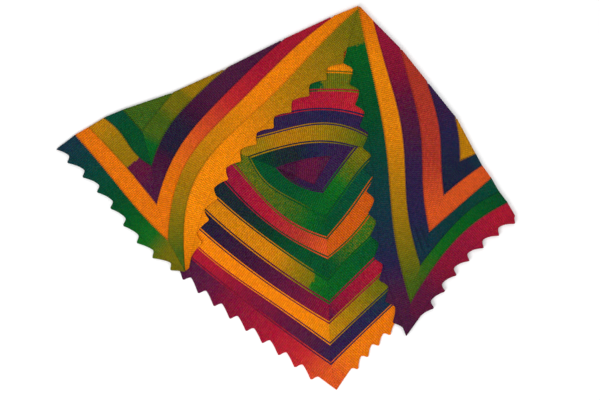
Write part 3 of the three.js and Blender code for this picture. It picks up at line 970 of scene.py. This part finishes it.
# shadow is the painted shade in the gaps, light the painted light on the threads
SMOOTH_WOOL = wool("smooth_knit", slant=RIGHT_SLANT, legs=0.95, shadow=0.38, light=1.2)
RIDGED_WOOL = wool("ridged_knit", slant=WRONG_SLANT, legs=0.5, shadow=0.3, light=1.18)
print("materials:", SMOOTH_WOOL.name, "and", RIDGED_WOOL.name)

# %% [markdown]
# ## Making one stretch
# Now a stretch can be knitted from its two seams. Its grid is laid out flat, raised by its stitches,
# rolled over the fold where it belongs to a wing, lifted by the creases and closed to a sheet. Its flat
# size is taken from the grid as it lies, before the cloth is raised or rolled.

# %% The flat size of a stretch
def flat_size(grid):
    """The stretch's width, length and area, in metres."""
    length = (grid["s"].max() - grid["s"].min()) * MM
    spans = np.hypot(*np.moveaxis(grid["xy"][:, -1] - grid["xy"][:, 0], -1, 0))
    border = np.concatenate([grid["xy"][:, 0], grid["xy"][::-1, -1]])
    area = abs(cross2(border, np.roll(border, -1, axis=0)).sum()) / 2 * MM * MM
    return spans.max() * MM, length, area


swatch = {"s": np.array([[0, 0], [50, 50]]), "xy": np.array([[(0, 0), (40, 0)], [(0, 50), (40, 50)]])}
print("a swatch 40 mm by 50 mm measures, in metres:", np.round(flat_size(swatch), 4).tolist())

# %% From seams to a piece
PAST_FOLD = 2.0  # the close rows go on this far past the fold, in millimetres


def layers(grid, wing, stitches, fold, lead):
    """The points of a stretch's top and of its underside, in millimetres."""
    if wing:
        height = CLOTH + right_side(grid["stitch"], grid["row"])
    else:
        height = CLOTH + wrong_side(grid["stitch"], grid["row"], stitches)
    base = WING_BASE if wing else 0.0
    top = lifted(grid["xy"], height, base, fold, lead)
    under = lifted(grid["xy"], np.zeros_like(height), base, fold, lead)
    lift = crease_height(grid["xy"])
    for layer in (top, under):
        layer[..., 2] += lift
        layer[..., :2] += MIDDLE
    return top, under


def knit(name, inner, outer, neighbours=(None, None), wing=False, lead=None, stitches=STITCHES):
    """One stretch between two seams, as a piece of the frame; gives its flat width, length and area."""
    edge = TEETH.get(name)
    narrows = stitches > STITCHES
    table, ends, corners, side, fold_end = row_table(inner, outer, edge, lead, ROLL_LENGTH, narrows)
    fold = dense = None
    if lead is not None:
        fold = seam_points(**inner)[0], seam_points(**outer)[0]
        dense = fold_end + PAST_FOLD
    zigzag = ZIGZAG * (RIGHT_SLANT if wing else WRONG_SLANT)
    grid = stitch_grid(table, ends, corners, zigzag, EXTRA if edge else 0, dense, stitches)
    top, under = layers(grid, wing, stitches, fold, lead)
    mesh, places = closed_sheet(name + "_knit", grid, top, under, side)
    colours = stitch_colours(name, grid, places, neighbours, not wing, stitches)
    loops = np.empty(len(mesh.polygons), int)
    mesh.polygons.foreach_get("loop_total", loops)
    rgba = np.column_stack([np.repeat(colours, loops, axis=0), np.ones(loops.sum())])
    mesh.attributes.new("yarn", "FLOAT_COLOR", "CORNER").data.foreach_set("color", rgba.ravel())
    mesh.update()
    piece = bpy.data.objects.new(name + "_knit", mesh)
    bpy.context.scene.collection.objects.link(piece)
    mesh.materials.append(SMOOTH_WOOL if wing else RIDGED_WOOL)
    width, length, area = flat_size(grid)
    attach(piece, "root")
    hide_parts(name)
    return width, length, area


# %% [markdown]
# ## The back
# The heart comes first, then each round in its three stretches: down the left side, up the right one
# and back along the neck edge.

# %% Knitting the back
HEART_STITCHES = 14
LAST_ROUND = 9
BACK = [
    # part, its seams, the heart's own seam where round 0 begins, first round
    ("back_left", BACK_LEFT, HEART_LEFT, 0),
    ("back_right", BACK_RIGHT, HEART_RIGHT, 0),
    ("back_neck", BACK_NECK, None, 1),
]
SIZES = {"heart": knit("heart", HEART_LEFT, BACK_NECK[0], stitches=HEART_STITCHES)}
for part, seams, heart_seam, first in BACK:
    for n in range(first, LAST_ROUND + 1):
        name = f"{part}_round_{n}"
        inner = seams[n - 1] if n else heart_seam
        inside = f"{part}_round_{n - 1}" if n > first else "heart"
        outside = f"{part}_round_{n + 1}" if n < LAST_ROUND else None
        SIZES[name] = knit(name, inner, seams[n], (inside, outside))
print("stretches of the back:", len(SIZES))

# %% [markdown]
# ## The wings
# A wing shows the right side. Its innermost stretch narrows to a point, and each further one is joined
# outside the last, along the neck edge and along the leg of the triangle. The last one along the neck
# edge ends at the fold, and all the others run over it.

# %% Knitting the wings
MIDDLE_STITCHES = {"left": 24, "right": 26}
BLUNT = 0.4  # half the width of the blunt tip of a wing's innermost stretch, in millimetres


def towards(seam, other):
    """A seam of the innermost stretch, ended a millimetre before the two would meet."""
    starts = np.array(seam["start"], float), np.array(other["start"], float)
    back = unit((starts[0] + starts[1]) / 2 - seam["end"])
    return seam | {"end": tuple(seam["end"] + back + BLUNT * unit(starts[0] - starts[1]))}


WINGS = [
    ("left", LEFT_WING_NECK, LEFT_WING_LEG, LEFT_ROLL),
    ("right", RIGHT_WING_NECK, RIGHT_WING_LEG, RIGHT_ROLL),
]
for way, neck, leg, lead in WINGS:
    a, b = neck[min(neck)], leg[min(leg)]
    middle = f"{way}_wing_middle"
    tip = towards(a, b), towards(b, a)
    SIZES[middle] = knit(middle, *tip, wing=True, lead=lead, stitches=MIDDLE_STITCHES[way])
    for part, seams in (("neck", neck), ("leg", leg)):
        for n in sorted(seams)[1:]:
            name = f"{way}_wing_{part}_round_{n}"
            inside = f"{way}_wing_{part}_round_{n - 1}" if n - 1 > min(seams) else middle
            over = None if part == "neck" and n == max(seams) else lead
            SIZES[name] = knit(name, seams[n - 1], seams[n], (inside, None), wing=True, lead=over)
print("stretches in all:", len(SIZES))
knitted = [piece.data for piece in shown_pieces() if piece.name.endswith("_knit")]
print("triangles:", sum(len(mesh.loops) - 2 * len(mesh.polygons) for mesh in knitted))
print("flat area in square metres:", round(sum(area for _, _, area in SIZES.values()), 3))
